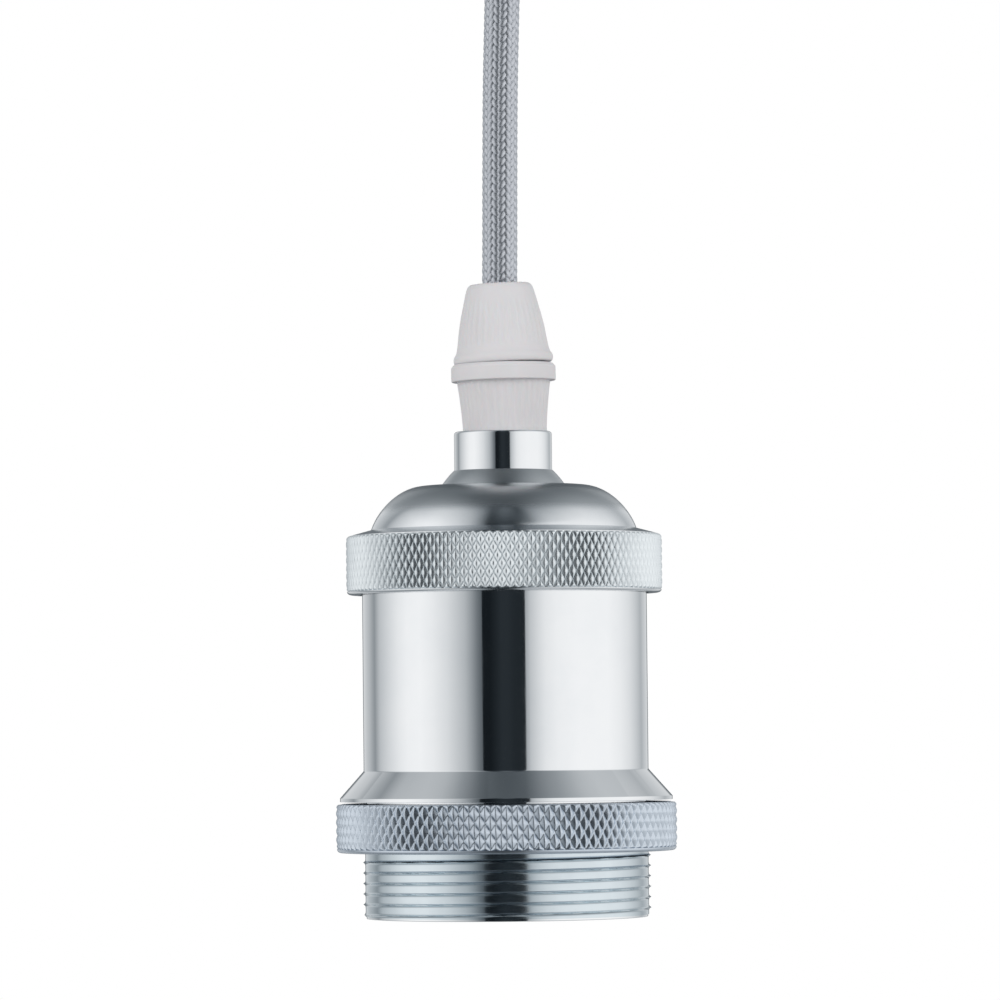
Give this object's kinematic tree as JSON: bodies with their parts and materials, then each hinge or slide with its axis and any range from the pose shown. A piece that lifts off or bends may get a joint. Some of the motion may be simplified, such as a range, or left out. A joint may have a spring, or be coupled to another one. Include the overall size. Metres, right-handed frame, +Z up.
{
  "type": "pendant light",
  "caption": "Pendant lamp holder in chrome with knurled rings and a screw socket, on a textile cord with plastic grips under a round ceiling canopy.",
  "frame": {"origin": "middle of the ceiling bracket's upper face, which lies against the ceiling", "axes": "+Z up, out of the light into the ceiling; X along the bracket, through the canopy's side screws; the light hangs below the origin"},
  "size_m": [0.0866, 0.08, 0.1755],
  "materials": {
    "polished_chrome": "mirror-bright chrome plate",
    "knurled_chrome": "satin chrome plate, diamond knurled",
    "white_plastic": "moulded nylon, fine upright ribs",
    "textile_braid": "silver-grey rayon braid",
    "porcelain": "glazed white porcelain",
    "nickel_shell": "nickel-plated brass sheet",
    "brass": "bright brass",
    "zinc_steel": "zinc-plated steel",
    "block_plastic": "moulded off-white plastic",
    "live_insulation": "brown wire insulation",
    "neutral_insulation": "blue wire insulation",
    "earth_insulation": "green-yellow wire insulation"
  },
  "bodies": {
    "fixture": {"block_screw_earth": "brass", "block_screw_live": "brass", "block_screw_neutral": "brass", "body_shell": "polished_chrome", "bridge_strap": "zinc_steel", "canopy": "polished_chrome", "canopy_earth_wire": "earth_insulation", "canopy_grip_body": "white_plastic", "canopy_grip_nut": "white_plastic", "canopy_live_wire": "live_insulation", "canopy_locknut": "zinc_steel", "canopy_neutral_wire": "neutral_insulation", "canopy_screw_left": "polished_chrome", "canopy_screw_right": "polished_chrome", "cap": "polished_chrome", "ceiling_bracket": "zinc_steel", "centre_contact": "brass", "cord": "textile_braid", "core_screw_left": "zinc_steel", "core_screw_right": "zinc_steel", "earth_screw": "brass", "holder_earth_wire": "earth_insulation", "holder_grip_body": "white_plastic", "holder_grip_nut": "white_plastic", "holder_live_wire": "live_insulation", "holder_locknut": "zinc_steel", "holder_neutral_wire": "neutral_insulation", "live_terminal": "brass", "live_terminal_screw": "zinc_steel", "neutral_terminal": "brass", "neutral_terminal_screw": "zinc_steel", "screw_shell": "nickel_shell", "shell_rivet": "brass", "socket_core": "porcelain", "terminal_block": "block_plastic"},
    "shade_ring": {"shade_ring": "knurled_chrome"}
  },
  "joints": [
    {"name": "shade_ring_travel", "type": "slide", "parent": "fixture", "child": "shade_ring", "axis": [0, 0, -1], "range_m": [0, 0.009]}
  ]
}
